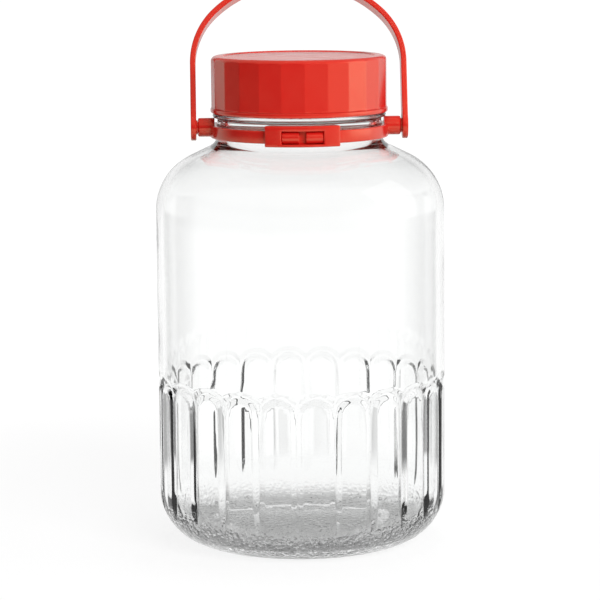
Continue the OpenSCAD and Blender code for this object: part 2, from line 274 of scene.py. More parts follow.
def shell(bm, part, bevel=0.0, segments=2, sharp=40, place=None):
    """Adds one closed shell to a bmesh, with its sharp edges rounded"""
    verts, faces = part
    piece = bmesh.new()
    made = [piece.verts.new(v) for v in verts]
    for face in faces:
        piece.faces.new([made[i] for i in face])
    bmesh.ops.remove_doubles(piece, verts=piece.verts, dist=1e-7)
    bmesh.ops.recalc_face_normals(piece, faces=piece.faces)
    if bevel:
        edges = [e for e in piece.edges if e.is_manifold and e.calc_face_angle(0) > math.radians(sharp)]
        bmesh.ops.bevel(piece, geom=edges, offset=bevel, segments=segments, profile=0.6,
                        affect="EDGES", clamp_overlap=True)
    if place is not None:
        bmesh.ops.transform(piece, matrix=place, verts=piece.verts)
    if piece.calc_volume(signed=True) < 0:
        bmesh.ops.reverse_faces(piece, faces=piece.faces)
    mesh = bpy.data.meshes.new("shell")
    piece.to_mesh(mesh)
    piece.free()
    bm.from_mesh(mesh)
    bpy.data.meshes.remove(mesh)


def finished(name, bm, material, sharp=35):
    """A piece at the origin made from a bmesh, smooth apart from its sharp edges"""
    mesh = bpy.data.meshes.new(name)
    bm.to_mesh(mesh)
    bm.free()
    mesh.polygons.foreach_set("use_smooth", [True] * len(mesh.polygons))
    if sharp:
        mesh.set_sharp_from_angle(angle=math.radians(sharp))
    mesh.materials.clear()
    mesh.materials.append(material)
    mesh.update()
    piece = bpy.data.objects.new(name, mesh)
    bpy.context.scene.collection.objects.link(piece)
    return piece


def settled(piece):
    """Turns what a piece's modifiers make into its own plain mesh"""
    bpy.context.view_layer.update()
    graph = bpy.context.evaluated_depsgraph_get()
    mesh = bpy.data.meshes.new_from_object(piece.evaluated_get(graph), depsgraph=graph)
    piece.modifiers.clear()
    old = piece.data
    piece.data = mesh
    if isinstance(old, bpy.types.Mesh) and old.users == 0:
        bpy.data.meshes.remove(old)
    mesh.name = piece.name
    if not len(mesh.polygons):
        raise RuntimeError(piece.name + " came out empty")
    return piece


def take(bm, piece):
    """Moves a piece's mesh into a bmesh and removes the piece"""
    mesh = piece.data
    bm.from_mesh(mesh)
    bpy.data.objects.remove(piece)
    bpy.data.meshes.remove(mesh)


# Node trees

class Graph:
    """A node tree and short calls that fill it"""

    def __init__(self, tree):
        self.tree = tree
        tree.nodes.clear()

    def add(self, kind, values=(), **settings):
        node = self.tree.nodes.new(kind)
        for key, value in settings.items():
            setattr(node, key, value)
        for key, value in dict(values).items():
            self.feed(node.inputs[key], value)
        return node

    def feed(self, socket, value):
        """Links a socket to another socket or to a node's first output, or sets its value"""
        if isinstance(value, Node):
            value = value.outputs[0]
        if isinstance(value, NodeSocket):
            self.tree.links.new(value, socket)
        else:
            socket.default_value = value

    def first(self, kind, *values, **settings):
        """Adds a node, feeds its inputs in order and gives its first output"""
        return self.add(kind, enumerate(values), **settings).outputs[0]

    def math(self, operation, *values):
        return self.first("ShaderNodeMath", *values, operation=operation)

    def basics(self):
        """The four plain operations as functions"""
        return [partial(self.math, name) for name in ("ADD", "SUBTRACT", "MULTIPLY", "DIVIDE")]

    def hypot(self, x, y):
        squares = [self.math("MULTIPLY", side, side) for side in (x, y)]
        return self.math("SQRT", self.math("ADD", *squares))

    def ease(self, value, low, high, start=0.0, end=1.0):
        return self.first("ShaderNodeMapRange", value, low, high, start, end, interpolation_type="SMOOTHSTEP")

    def split(self, vector):
        return self.add("ShaderNodeSeparateXYZ", {0: vector}).outputs[:]

    def join(self, x, y, z):
        return self.first("ShaderNodeCombineXYZ", x, y, z)

    def mix(self, share, low, high):
        return self.add("ShaderNodeMix", {0: share, 2: low, 3: high}).outputs[0]

    def mix_colours(self, share, low, high):
        return self.add("ShaderNodeMix", {0: share, 6: low, 7: high}, data_type="RGBA").outputs[2]

    def mix_shaders(self, share, low, high):
        return self.first("ShaderNodeMixShader", share, low, high)

    def ramp(self, value, stops):
        node = self.add("ShaderNodeValToRGB", {0: value})
        elements = node.color_ramp.elements
        while len(elements) > 1:
            elements.remove(elements[-1])
        elements[0].position = stops[0][0]
        elements[0].color = (stops[0][1],) * 3 + (1.0,)
        for position, tone in stops[1:]:
            elements.new(position).color = (tone,) * 3 + (1.0,)
        return node.outputs[0]


def tree_sizes(size, *names):
    """Settings by the names that a node tree gives its inputs"""
    return {name.replace("_", " ").title(): getattr(size, name) for name in names}


def shape_tree(name, sizes):
    """A geometry node tree with a named input for each size"""
    tree = bpy.data.node_groups.new(name, "GeometryNodeTree")
    tree.interface.new_socket("Geometry", in_out="INPUT", socket_type="NodeSocketGeometry")
    for label, value in sizes.items():
        kind = "NodeSocketInt" if isinstance(value, int) else "NodeSocketFloat"
        tree.interface.new_socket(label, in_out="INPUT", socket_type=kind)
    tree.interface.new_socket("Geometry", in_out="OUTPUT", socket_type="NodeSocketGeometry")
    graph = Graph(tree)
    given = graph.add("NodeGroupInput")
    return graph, {socket.name: socket for socket in given.outputs if socket.name}


def end_tree(graph, geometry, material):
    """Closes a tree with realised instances and a material"""
    real = graph.add("GeometryNodeRealizeInstances", {0: geometry})
    painted = graph.add("GeometryNodeSetMaterial", {"Geometry": real, "Material": material})
    graph.add("NodeGroupOutput", {0: painted})
    return graph.tree


def apply_tree(piece, tree, sizes):
    """Runs a tree on a piece with its sizes and keeps the plain mesh"""
    modifier = piece.modifiers.new(tree.name, "NODES")
    modifier.node_group = tree
    for item in tree.interface.items_tree:
        if item.item_type == "SOCKET" and item.in_out == "INPUT" and item.name in sizes:
            modifier[item.identifier] = sizes[item.name]
    return settled(piece)


def tree_piece(mesh, tree, sizes):
    """A new piece that a tree makes from a mesh"""
    piece = bpy.data.objects.new(mesh.name, mesh)
    bpy.context.scene.collection.objects.link(piece)
    return apply_tree(piece, tree, sizes)


# Materials

def new_material(name):
    """A material with its graph and the piece's own coordinates"""
    material = bpy.data.materials.new(name)
    material.use_nodes = True
    graph = Graph(material.node_tree)
    return material, graph, graph.add("ShaderNodeTexCoord").outputs["Object"]


def noise(graph, place, scale, detail=2.0):
    values = {"Vector": place, "Scale": scale, "Detail": detail, "Roughness": 0.5}
    return graph.add("ShaderNodeTexNoise", values).outputs["Fac"]


def dimples(graph, place, scale):
    values = {"Vector": place, "Scale": scale, "Randomness": 0.9}
    return graph.add("ShaderNodeTexVoronoi", values, feature="SMOOTH_F1").outputs["Distance"]


def bump(graph, height, strength, depth, **under):
    return graph.add("ShaderNodeBump", {"Height": height, "Strength": strength, "Distance": depth, **under})


def clear_glass(tint):
    """Clear moulded glass: faint ripple on the walls, stippled base inside and out"""
    material, g, place = new_material("moulded_glass")
    x, y, z = g.split(place)
    drawn = g.add("ShaderNodeMapping", {"Vector": place, "Scale": (1.0, 0.42, 1.0)})
    on_floor = g.math("MULTIPLY", g.ease(z, 0.0075, 0.0095), g.ease(z, 0.026, 0.016, 0.0, 0.75))
    on_heel = g.math("MULTIPLY", g.ease(g.hypot(x, y), 0.08, 0.074), g.ease(z, 0.010, 0.007))
    inside = g.math("MULTIPLY", dimples(g, drawn, 540.0), on_floor)
    below = g.math("MULTIPLY", dimples(g, place, 620.0), on_heel)
    ripple = bump(g, noise(g, place, 26.0, 1.0), 0.25, 0.0006)
    stipple = bump(g, g.math("MAXIMUM", inside, below), 0.9, 0.0009, Normal=ripple)
    shader = g.add("ShaderNodeBsdfPrincipled", {
        "Base Color": (*tint, 1.0), "Roughness": 0.0, "IOR": 1.5, "Transmission Weight": 1.0,
        "Normal": stipple})
    absorb = g.add("ShaderNodeVolumeAbsorption", {"Color": (0.82, 0.92, 0.9, 1.0), "Density": 1.0})
    g.add("ShaderNodeOutputMaterial", {"Surface": shader, "Volume": absorb})
    return material


def plastic(g, place, tone, roughness, grain, **more):
    """Shader of a moulded plastic whose gloss varies a little and whose surface has a fine grain"""
    scale, low, high = roughness
    grain_scale, strength = grain
    return g.add("ShaderNodeBsdfPrincipled", {
        "Base Color": tone, "Roughness": g.ease(noise(g, place, scale), 0.2, 0.8, low, high),
        "Normal": bump(g, noise(g, place, grain_scale), strength, 0.0003), **more})


def red_plastic(red):
    """Glossy plastic with a faint flow pattern and orange peel"""
    material, g, place = new_material("glossy_red")
    flow = g.math("MULTIPLY", noise(g, place, 34.0, 3.0), 0.35)
    streak = (red[0] * 0.9, red[1] * 1.3, red[2] * 0.9, 1.0)
    gloss = {"IOR": 1.5, "Specular IOR Level": 1.0, "Specular Tint": (1.0, 0.85, 0.5, 1.0)}
    shader = plastic(g, place, g.mix_colours(flow, (*red, 1.0), streak), roughness=(90.0, 0.15, 0.23),
                     grain=(620.0, 0.05), **gloss)
    g.add("ShaderNodeOutputMaterial", {"Surface": shader})
    return material


def natural_plastic(natural):
    """Satin plastic, slightly cloudy"""
    material, g, place = new_material("satin_natural")
    cloud = tuple(c * 0.93 for c in natural) + (1.0,)
    tone = g.mix_colours(noise(g, place, 45.0, 3.0), (*natural, 1.0), cloud)
    depth = {"Subsurface Weight": 0.2, "Subsurface Radius": (0.002, 0.002, 0.0015)}
    shader = plastic(g, place, tone, roughness=(120.0, 0.42, 0.55), grain=(900.0, 0.08), **depth)
    g.add("ShaderNodeOutputMaterial", {"Surface": shader})
    return material


def finish(name):
    """The shared material of that name, made on first use"""
    scene = bpy.context.scene
    if name in bpy.data.materials:
        return bpy.data.materials[name]
    if name == "moulded_glass":
        return clear_glass(tuple(scene.jar_glass.tint))
    if name == "glossy_red":
        return red_plastic(tuple(scene.jar_finish.red))
    return natural_plastic(tuple(scene.jar_finish.natural))


def hand_over(piece, body, slot, *nodes):
    """Lets a finished piece stand for CAD nodes and move with a body"""
    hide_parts(*nodes)
    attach(piece, body)


# Glass

def glass_rows(size):
    """Half section of the glass: outside from the hollow to the rim, then inside to the floor"""
    slope = math.degrees(size.shoulder_slope)
    body, heel, shoulder = size.body_radius, size.heel_radius, size.shoulder_radius
    foot = body - heel - size.foot_width
    ball = (foot ** 2 + size.push_up ** 2) / (2 * size.push_up)
    outside = []
    for share in (0, 0.2, 0.45, 0.7, 0.88, 0.98):
        r = foot * share
        outside.append((r, size.push_up - ball + math.sqrt(ball ** 2 - r ** 2)))
    outside += [(foot, 0.0), (foot + size.foot_width * 0.5, 0.0)]
    outside += bend((body, 0.0), heel, -90, 0, 20)
    # Rows lie close together where the arches are
    low, high, lap = size.panel_top - 0.0125, size.panel_top + 0.0035, 0.0006
    outside += spread((body, heel), (body, low), 5)
    outside += spread((body, low - lap), (body, high), 28)
    outside += [(body, high + (size.body_height - high) * t) for t in (0, 0.06, 0.25, 0.5, 0.75, 0.92)]
    centre = (body - shoulder, size.body_height)
    outside += arc(centre, shoulder, 0, 90 - slope, 14)
    reach = size.neck_blend * math.tan(math.radians((90 - slope) / 2))

    def neck_arc(neck, end_r, end_z, steps):
        root = end_z + (end_r - neck) * math.tan(size.shoulder_slope)
        return arc((neck + size.neck_blend, root + reach), size.neck_blend, 270 - slope, 180, steps)

    neck, done, bead_low = size.neck_radius, size.finish_radius, size.bead_z
    blend = neck_arc(neck, *outside[-1], 8)
    outside += spread(outside[-1], blend[0], 4) + blend
    outside += [(neck, bead_low - 0.0035), (neck, bead_low - 0.0012), (neck + 0.0003, bead_low - 0.0004)]
    half = size.bead_size / 2
    outside += arc((size.bead_radius - half, bead_low + half), half, -90, 90, 8)
    bead_top = bead_low + size.bead_size
    outside += [(done + 0.0012, bead_top + 0.0002), (done + 0.0003, bead_top + 0.0009),
                (done, bead_top + 0.0018)]
    rim = 0.0015
    outside += spread(outside[-1], (done, size.height - rim), 25)
    outside += bend((done, size.height), rim, 0, 90, 4)
    inside = bend((size.mouth_radius, size.height), rim, 90, 180, 4)
    curve = arc(centre, shoulder - size.wall, 90 - slope, 0, 10)
    blend = neck_arc(size.mouth_radius, *curve[0], 7)[::-1]
    inside += spread(inside[-1], blend[0], 3) + blend + spread(blend[-1], curve[0], 3) + curve
    base = bend((body - size.wall, size.floor), heel - size.wall - 0.001, 0, -90, 12)
    inside += spread(curve[-1], base[0], 5) + base
    inside += [(base[-1][0] * share, size.floor) for share in (0.8, 0.55, 0.3, 0.1, 0)]
    return outside, inside


def on_outside(size, point):
    """Whether a point lies on the outer wall, the outer heel or the outside of the mouth"""
    r, z, heel = math.hypot(point.x, point.y), point.z, size.heel_radius
    if r > size.body_radius - size.wall * 0.5 and z > heel * 0.5:
        return True
    if z < heel and math.hypot(r - size.body_radius + heel, z - heel) > heel - size.wall * 0.4:
        return True
    rim_z = size.height - 1e-6
    return r > size.finish_radius - 0.0008 and size.bead_z + size.bead_size < z < rim_z


def glass_tree(sizes, material):
    """Grooves round the arched panels and a thread raised on the neck, both by rule"""
    g, given = shape_tree("Jar glass shape", sizes)
    m = g.math
    add, sub, mul, div = g.basics()
    skin = g.add("GeometryNodeInputNamedAttribute", {"Name": "outside"}, data_type="FLOAT")
    x, y, z = g.split(g.add("GeometryNodeInputPosition"))
    radius = g.hypot(x, y)
    around = m("ARCTAN2", y, x)
    # Panels: a groove with straight flanks runs up between them and over their arched tops
    half = div(math.pi, given["Panel Count"])
    side = m("WRAP", sub(around, given["Panel Turn"]), half, mul(half, -1.0))
    valley = sub(given["Body Radius"], given["Groove Depth"])
    reach = mul(valley, half)
    aside = mul(valley, m("ABSOLUTE", side))
    rise, crown = given["Arch Rise"], given["Panel Top"]
    arch = div(add(mul(reach, reach), mul(rise, rise)), mul(rise, 2.0))
    above = sub(z, sub(crown, arch))
    far = g.hypot(aside, m("MAXIMUM", above, 0.0))
    under = sub(arch, add(far, m("MINIMUM", above, 0.0)))
    within = m("SMOOTH_MIN", sub(reach, aside), under, given["Corner Soft"])
    flank = mul(within, m("TANGENT", given["Groove Slope"]))
    sides = m("SMOOTH_MAX", flank, mul(flank, -1.0), given["Groove Soft"])
    cut = sub(m("SMOOTH_MIN", radius, add(valley, sides), given["Groove Soft"]), radius)
    spring = sub(crown, mul(rise, 0.7))
    grooved = mul(cut, g.ease(z, spring, crown, 1.0, given["Crown Share"]))
    # Thread: a rounded ridge on a right-hand helix, fading at both ends
    crest_half, foot_half, fade = 0.0004, 0.002, 0.07
    share = div(m("WRAP", around, 2 * math.pi, 0.0), 2 * math.pi)
    steps = sub(div(sub(z, given["Thread Z"]), given["Thread Pitch"]), share)
    whole = m("FLOOR", add(steps, 0.5))
    off = mul(m("ABSOLUTE", sub(steps, whole)), given["Thread Pitch"])
    along = add(whole, share)
    crest = g.ease(off, crest_half, foot_half, 1.0, 0.0)
    ends = mul(g.ease(along, 0.0, fade), g.ease(sub(given["Thread Turns"], along), 0.0, fade))
    ridge = mul(mul(crest, given["Thread Height"]), ends)
    change = mul(skin, add(grooved, ridge))
    grow = add(1.0, div(change, m("MAXIMUM", radius, 0.0001)))
    moved = g.add("GeometryNodeSetPosition", {
        "Geometry": given["Geometry"], "Position": g.join(mul(x, grow), mul(y, grow), z)})
    return end_tree(g, moved, material)


class JAR_OT_glass(Operator):
    """Makes the glass jar with its arched panels and its thread"""
    bl_idname = "jar.make_glass"
    bl_label = "Glass jar"

    def execute(self, context):
        size = context.scene.jar_glass
        outside, inside = glass_rows(size)
        front = size.panel_turn - math.pi / 2
        pitch = 2 * math.pi / size.panel_count
        # Steps from one groove to the next, close together across the groove and its edges
        edge = size.groove_depth / math.tan(size.groove_slope) / size.body_radius / pitch
        steps = [edge * s for s in (0, 0.06, 0.18, 0.5, 0.82, 0.94, 1.0, 1.06, 1.2)] + [0.25, 0.36]
        steps += [0.5] + [1 - s for s in steps[:0:-1]]
        angles = [front + pitch / 2 + pitch * (k + s) for k in range(size.panel_count) for s in steps]
        bm = bmesh.new()
        shell(bm, turned(outside + inside, angles))
        piece = finished("jar_glass", bm, finish("moulded_glass"), sharp=0)
        mark = piece.data.attributes.new("outside", "FLOAT", "POINT")
        mark.data.foreach_set("value", [float(on_outside(size, v.co)) for v in piece.data.vertices])
        sizes = tree_sizes(size, "body_radius", "panel_count", "panel_top", "groove_depth", "groove_slope",
                           "groove_soft", "arch_rise", "corner_soft", "crown_share", "thread_z",
                           "thread_pitch", "thread_turns", "thread_height")
        sizes["Panel Turn"] = front
        apply_tree(piece, glass_tree(sizes, finish("moulded_glass")), sizes)
        piece.data.attributes.remove(piece.data.attributes["outside"])
        piece.data.polygons.foreach_set("use_smooth", [True] * len(piece.data.polygons))
        hand_over(piece, "jar", "clear_glass", "glass_jar")
        return {"FINISHED"}


# Inner lid

class JAR_OT_inner_lid(Operator):
    """Makes the push-in lid with its flange, dish and finger tab"""
    bl_idname = "jar.make_inner_lid"
    bl_label = "Inner lid"

    def execute(self, context):
        size = context.scene.jar_cap
        rim = context.scene.jar_glass.height
        wall, plug, flange = size.lid_wall, size.plug_radius, size.flange_radius
        low, top = rim - size.plug_depth, rim + wall
        dish, floor = plug - wall, low + wall
        soft, heel, hollow = 0.0005, 0.0012, 0.001
        rows = [(0, low), (plug - 0.0016, low)]
        rows += bend((plug, low), heel, -90, 0, 5)
        rows += [(plug, rim - 0.0004), (plug + 0.0003, rim), (flange - soft, rim)]
        rows += bend((flange, top), soft, 0, 90, 4)
        rows += bend((dish, top), soft, 90, 180, 4)
        rows += bend((dish, floor), hollow, 0, -90, 5)
        rows += [(dish * share, floor) for share in (0.6, 0.3, 0)]
        bm = bmesh.new()
        shell(bm, turned(rows, even_angles(128)))
        # The tab is a plate cut from a disc whose centre lies below the dish
        half, drop, foot = size.tab_width / 2, 0.002, 0.0005
        outline = [(x, z) for x, z in arc((0, -drop), half, 0, 180, 24) if z > foot]
        outline = [(half * 0.98, foot)] + outline + [(-half * 0.98, foot)]
        verts = [(x, y, low + z) for y in (-wall / 2, wall / 2) for x, z in outline]
        n = len(outline)
        faces = [list(range(n)), list(range(n, 2 * n))]
        faces += [[i, (i + 1) % n, n + (i + 1) % n, n + i] for i in range(n)]
        shell(bm, (verts, faces), bevel=0.0004)
        piece = finished("plug_lid", bm, finish("satin_natural"))
        hand_over(piece, "lid", "natural_plastic", "inner_lid")
        return {"FINISHED"}


# Screw cap

def helix_tree(sizes, material):
    """A rounded ridge that follows a helix"""
    g, given = shape_tree("Cap thread", sizes)
    spiral = g.add("GeometryNodeCurveSpiral", {
        "Resolution": 72, "Rotations": given["Turns"], "Start Radius": given["Radius"],
        "End Radius": given["Radius"], "Height": g.math("MULTIPLY", given["Turns"], given["Pitch"])})
    upright = g.add("GeometryNodeSetCurveNormal", {"Curve": spiral}, mode="Z_UP")
    bar = g.add("GeometryNodeCurvePrimitiveCircle", {"Resolution": 12, "Radius": given["Size"]})
    swept = g.add("GeometryNodeCurveToMesh", {"Curve": upright, "Profile Curve": bar, "Fill Caps": True})
    level = g.join(0.0, 0.0, given["Level"])
    lifted = g.add("GeometryNodeTransform", {"Geometry": swept, "Translation": level})
    return end_tree(g, lifted, material)


class JAR_OT_screw_cap(Operator):
    """Makes the faceted screw cap with its inside thread"""
    bl_idname = "jar.make_screw_cap"
    bl_label = "Screw cap"

    def execute(self, context):
        size = context.scene.jar_cap
        glass = context.scene.jar_glass
        step = 2 * math.pi / size.facets
        start = size.turn - math.pi / 2
        crest = size.radius / math.cos(step / 2)
        skirt = crest + 0.0001
        bead = crest + 0.0005
        edge, bead_soft, soft = size.edge_radius, 0.0009, 0.0004
        rim = skirt - edge
        panel, bore, hold = size.panel_radius, size.bore, size.keeper_radius
        low, top = size.low, size.top
        bead_top = low + size.bead_size
        facet_low = bead_top + 0.0005
        sink = top - size.panel_sink
        ceiling = sink - size.top_wall
        keeper = glass.height - 0.0003
        rows = [(panel * share, sink) for share in (0, 0.3, 0.6, 0.85)]
        rows += bend((panel, sink), soft, -90, -20, 3)
        rows += bend((panel + 0.0001, top), soft, 160, 90, 3)
        rows += [((panel + rim) / 2, top)]
        rows += arc((rim, top - edge), edge, 90, 0, 12)
        levels = (top - edge - 0.001, (top + low) / 2, facet_low + 0.0008, facet_low)
        rows += [(rim + edge, z) for z in levels]
        rows += [(skirt, bead_top + 0.0001)]
        rows += bend((bead, bead_top), bead_soft, 80, 0, 5)
        rows += bend((bead, low), bead_soft, 0, -90, 5)
        rows += [(bore + 0.0006, low), (bore + 0.0001, low + 0.0002), (bore, low + 0.0007)]
        rows += [(bore, keeper - 0.0022), (hold + 0.0002, keeper - 0.0012), (hold, keeper - 0.001),
                 (hold, keeper - 0.0002), (hold + 0.0002, keeper), (bore, keeper)]
        rows += [(bore, ceiling - soft), (bore - soft, ceiling)]
        rows += [(bore * share, ceiling) for share in (0.7, 0.35, 0)]

        def faceted(r, z, a):
            if r < rim or z < facet_low - 1e-6:
                return r
            across = (a - start) % step - step / 2
            blunt = 0.00003 if abs(abs(across) - step / 2) < 1e-4 else 0.0
            return min(r, size.radius / math.cos(across) - blunt)

        marks = [0, 0.03, 0.07, 0.13, 0.5, 0.87, 0.93, 0.97]
        angles = [start + step * (k + m) for k in range(size.facets) for m in marks]
        bm = bmesh.new()
        shell(bm, turned(rows, angles, faceted))
        sizes = {"Radius": bore + 0.0003, "Pitch": glass.thread_pitch, "Turns": 1.25,
                 "Size": 0.0017, "Level": glass.thread_z - glass.thread_pitch / 2}
        start_mesh = bpy.data.meshes.new("cap_thread")
        take(bm, tree_piece(start_mesh, helix_tree(sizes, finish("glossy_red")), sizes))
        piece = finished("cap", bm, finish("glossy_red"), sharp=38)
        hand_over(piece, "cap", "red_plastic", "screw_cap")
        return {"FINISHED"}


# Collar and clasp

def sideways(turn):
    """Turns the z axis onto the x axis, then round the jar"""
    return Matrix.Rotation(turn, 4, "Z") @ Matrix.Rotation(math.pi / 2, 4, "Y")


class JAR_OT_collar(Operator):
    """Makes the split collar band with its ears, tongues and catches"""
    bl_idname = "jar.make_collar"
    bl_label = "Collar band"

    def execute(self, context):
        size = context.scene.jar_collar
        socket = context.scene.jar_handle.stud + 0.00005
        front = -math.pi / 2
        low, high = size.low, size.low + size.height
        bm = bmesh.new()
        end = size.clasp_half + math.radians(0.4)
        section = [(size.inner, low), (size.outer, low), (size.outer, high), (size.inner, high)]
        shell(bm, sector(section, front + end, front + 2 * math.pi - end, 128), bevel=0.0009, segments=3)
        # Tongues run into the clasp a little lower than the band, and their catches bulge into its window
        room, sunk = 0.0003, 0.0005
        back, tongue = size.tongue_inner, size.tongue_outer
        flat = [(back, low + room), (tongue, low + room), (tongue, high - room), (back, high - room)]
        tall = size.height / 2 - room
        bulge = size.catch_outer - tongue
        round_r = (tall ** 2 + bulge ** 2) / (2 * bulge)
        reach = math.degrees(math.asin(tall / round_r))
        catch = arc((size.catch_outer - round_r, (low + high) / 2), round_r, -reach, reach, 12)
        catch += [(tongue - sunk, high - room), (tongue - sunk, low + room)]
        for side in (-1, 1):
            near = front + side * size.slot
            root = front + side * (size.clasp_half + math.radians(1))
            shell(bm, sector(flat, near, root, 24), bevel=0.0002)
            far = front + side * (size.window_half - math.radians(0.3))
            shell(bm, sector(catch, near, far, 16), bevel=0.0004, segments=3, sharp=50)
        root, soft, blind = size.inner + 0.0012, 0.001, size.outer - 0.0008
        lead = 0.0003
        ear = [(0, root), (size.ear_radius, root)]
        ear += bend((size.ear_radius, size.ear_reach), soft, 0, 90, 5)
        ear += [(socket + lead, size.ear_reach), (socket, size.ear_reach - lead), (socket, blind), (0, blind)]
        for turn in (0, math.pi):
            place = Matrix.Translation((0, 0, size.pivot_z)) @ sideways(turn)
            shell(bm, turned(ear, even_angles(64)), place=place)
        piece = finished("collar", bm, finish("glossy_red"), sharp=38)
        hand_over(piece, "collar", "red_plastic", "collar_band")
        return {"FINISHED"}


class JAR_OT_clasp(Operator):
    """Makes the curved clasp sleeve with its window"""
    bl_idname = "jar.make_clasp"
    bl_label = "Clasp sleeve"

    def execute(self, context):
        size = context.scene.jar_collar
        out = size.clasp_outer
        window = size.window_half * out
        half = size.clasp_half * out
        sharp, near = 0.7, 1e-6
        # The sleeve is laid out flat as a block of cells, then bent round the neck
        across = [-half, -half * 0.85, -half * 0.7]
        across += [-window + 2 * window * i / 16 for i in range(17)]
        across += [half * 0.7, half * 0.85, half]
        depth = [size.clasp_inner, size.clasp_back, size.outer, out]
        levels = [size.clasp_low, size.low, size.low + size.height, size.clasp_high]
        cells = [range(len(line) - 1) for line in (across, depth, levels)]

        def filled(i, j, k):
            if i not in cells[0] or j not in cells[1] or k not in cells[2]:
                return False
            open_tunnel = j == 1 and k == 1
            open_window = j == 2 and k == 1 and across[i] > -window - 1e-9 and across[i + 1] < window + 1e-9
            return not (open_tunnel or open_window)

        bm = bmesh.new()
        corners = {}

        def corner(i, j, k):
            if (i, j, k) not in corners:
                corners[i, j, k] = bm.verts.new((across[i], depth[j], levels[k]))
            return corners[i, j, k]

        loop = ((0, 0), (0, 1), (1, 1), (1, 0))
        for cell in product(*cells):
            if not filled(*cell):
                continue
            for axis, end in product(range(3), range(2)):
                beside = list(cell)
                beside[axis] += 2 * end - 1
                if filled(*beside):
                    continue
                face = []
                for u, v in loop if (axis + end) % 2 == 0 else [pair[::-1] for pair in loop]:
                    shift = [u, v]
                    shift.insert(axis, end)
                    face.append(corner(*(c + s for c, s in zip(cell, shift))))
                bm.faces.new(face)
        bmesh.ops.recalc_face_normals(bm, faces=bm.faces)

        def outer_edge(edge):
            if not edge.is_manifold or edge.calc_face_angle(0) <= sharp:
                return False
            ends = [v.co for v in edge.verts]
            at_front = all(co.y > out - near for co in ends)
            at_side = all(abs(abs(co.x) - half) < near and co.z in (levels[0], levels[3]) for co in ends)
            return at_front or at_side

        edges = [edge for edge in bm.edges if outer_edge(edge)]
        bmesh.ops.bevel(bm, geom=edges, offset=0.0008, segments=3, profile=0.6, affect="EDGES",
                        clamp_overlap=True)
        for v in bm.verts:
            turn = v.co.x / out - math.pi / 2
            v.co = (v.co.y * math.cos(turn), v.co.y * math.sin(turn), v.co.z)
        if bm.calc_volume(signed=True) < 0:
            bmesh.ops.reverse_faces(bm, faces=bm.faces)
        piece = finished("clasp", bm, finish("glossy_red"), sharp=38)
        hand_over(piece, "collar", "red_plastic", "clasp_sleeve")
        return {"FINISHED"}


# Bail handle

def strap_path(size):
    """Middle line of the strap, flat in the xy plane: leg, haunch, crown, haunch, leg"""
    t = size.thickness / 2
    span, leg, haunch = size.span, size.leg, size.haunch
    arch = size.height - leg
    aside = span - haunch
    drop = (aside ** 2 - (arch - haunch) ** 2) / (2 * (arch - haunch))
    meet = math.degrees(math.atan2(drop, aside))
    start = size.channel_start
    points = [(span - t, start * share) for share in (0.0, 0.5, 0.9, 0.96, 1.0, 1.04, 1.1)]
    points += spread(points[-1], (span - t, leg), 5)
    points += arc((aside, leg), haunch - t, 0, meet, 22)
    points += arc((0, leg - drop), arch + drop - t, meet, 90, 24)[1:]
    return points + [(-x, y) for x, y in points[-2::-1]]


def strap_tree(sizes, material):
    """A flat strap with a channel along its inside that follows the arch"""
    g, given = shape_tree("Bail strap", sizes)
    _, sub, mul, _ = g.basics()
    wall_half, end_half, inner_share = 0.0003, 0.0006, 0.4
    path = g.add("GeometryNodeMeshToCurve", {"Mesh": given["Geometry"]})
    upright = g.add("GeometryNodeSetCurveNormal", {"Curve": path}, mode="Z_UP")
    known = g.add("GeometryNodeCaptureAttribute", {"Geometry": upright}, domain="POINT")
    known.capture_items.new("FLOAT", "height")
    known.capture_items.new("VECTOR", "inward")
    g.feed(known.inputs["height"], g.split(g.add("GeometryNodeInputPosition"))[1])
    g.feed(known.inputs["inward"], g.add("GeometryNodeInputNormal"))
    box = g.add("GeometryNodeCurvePrimitiveQuadrilateral", {
        "Width": given["Thickness"], "Height": given["Width"]})
    soft = g.add("GeometryNodeFilletCurve", {"Curve": box, "Count": 4, "Radius": given["Edge"]}, mode="POLY")
    fine = g.add("GeometryNodeResampleCurve", {"Curve": soft, "Count": 110})
    section = g.add("GeometryNodeCaptureAttribute", {"Geometry": fine}, domain="POINT")
    section.capture_items.new("FLOAT", "through")
    section.capture_items.new("FLOAT", "across")
    through, across, _ = g.split(g.add("GeometryNodeInputPosition"))
    g.feed(section.inputs["through"], through)
    g.feed(section.inputs["across"], across)
    swept = g.add("GeometryNodeCurveToMesh", {"Curve": known, "Profile Curve": section, "Fill Caps": True})
    half = sub(mul(given["Width"], 0.5), given["Channel Rim"])
    aside = sub(g.math("ABSOLUTE", section.outputs["across"]), half)
    wide = g.ease(aside, -wall_half, wall_half, 1.0, 0.0)
    inner = g.math("GREATER_THAN", section.outputs["through"], mul(given["Thickness"], inner_share))
    tall = g.ease(sub(known.outputs["height"], given["Channel Start"]), -end_half, end_half)
    deep = mul(mul(wide, inner), mul(tall, given["Channel Depth"]))
    push = g.add("ShaderNodeVectorMath", {0: known.outputs["inward"], "Scale": mul(deep, -1.0)},
                 operation="SCALE")
    cut = g.add("GeometryNodeSetPosition", {"Geometry": swept, "Offset": push})
    stood = g.add("GeometryNodeTransform", {
        "Geometry": cut, "Rotation": g.join(sub(math.pi / 2, given["Lean"]), 0.0, 0.0),
        "Translation": g.join(0.0, 0.0, given["Pivot Z"])})
    return end_tree(g, stood, material)


